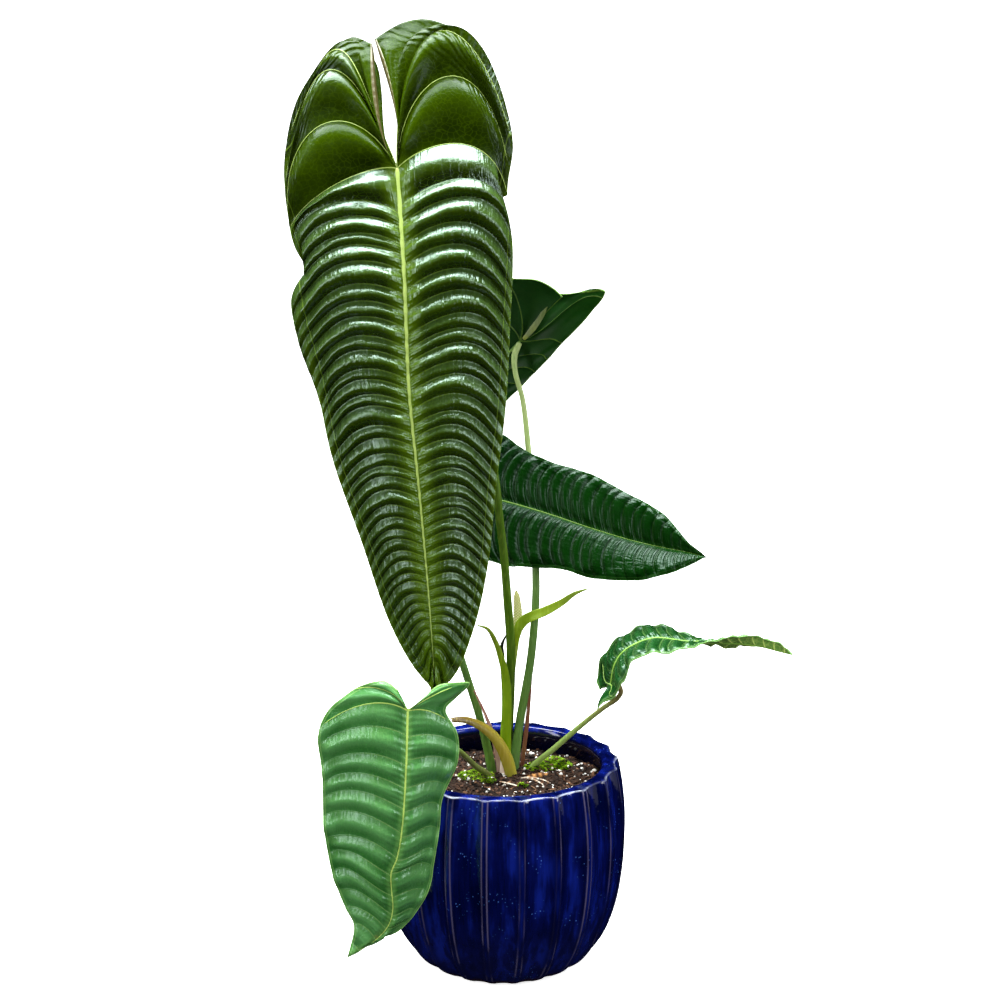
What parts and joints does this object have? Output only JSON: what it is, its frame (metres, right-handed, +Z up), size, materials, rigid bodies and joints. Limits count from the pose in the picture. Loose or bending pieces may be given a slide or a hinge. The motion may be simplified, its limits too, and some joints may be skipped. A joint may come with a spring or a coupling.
{
  "type": "potted king anthurium",
  "caption": "Aroid house plant with long pleated hanging leaves on tall stalks, sheath leaves and a young inflorescence, in a glazed fluted barrel pot filled with potting mix.",
  "frame": {"origin": "centre of the foot of the pot, on the surface that it stands on", "axes": "+Z up along the axis of the pot, +X to the right and -Y towards the viewer when the giant leaf is seen from its front"},
  "size_m": [0.5916, 0.38, 1.1373],
  "materials": {
    "glaze": "gloss",
    "potting_mix": "matte",
    "rhizome": "matte",
    "giant_petiole": "satin",
    "giant_blade": "gloss",
    "upper_petiole": "satin",
    "upper_blade": "satin",
    "middle_petiole": "satin",
    "middle_blade": "satin",
    "front_petiole": "satin",
    "front_blade": "satin",
    "small_petiole": "satin",
    "small_blade": "satin",
    "green_sheath": "satin",
    "yellow_sheath": "satin",
    "dry_sheath": "matte",
    "pale_dry_sheath": "matte",
    "black_sheath": "matte",
    "flower_stalk": "satin",
    "spadix": "matte"
  },
  "bodies": {
    "root": {"pot": "glaze", "soil": "potting_mix", "rhizome": "rhizome", "petiole_giant": "giant_petiole", "blade_giant": "giant_blade", "petiole_upper": "upper_petiole", "blade_upper": "upper_blade", "petiole_middle": "middle_petiole", "blade_middle": "middle_blade", "petiole_front": "front_petiole", "blade_front": "front_blade", "petiole_small": "small_petiole", "blade_small": "small_blade", "green_cataphyll": "green_sheath", "yellow_cataphyll": "yellow_sheath", "dry_cataphyll_right": "dry_sheath", "dry_cataphyll_left": "pale_dry_sheath", "withered_sheath": "black_sheath", "flower_stalk": "flower_stalk", "spadix": "spadix"}
  },
  "joints": []
}
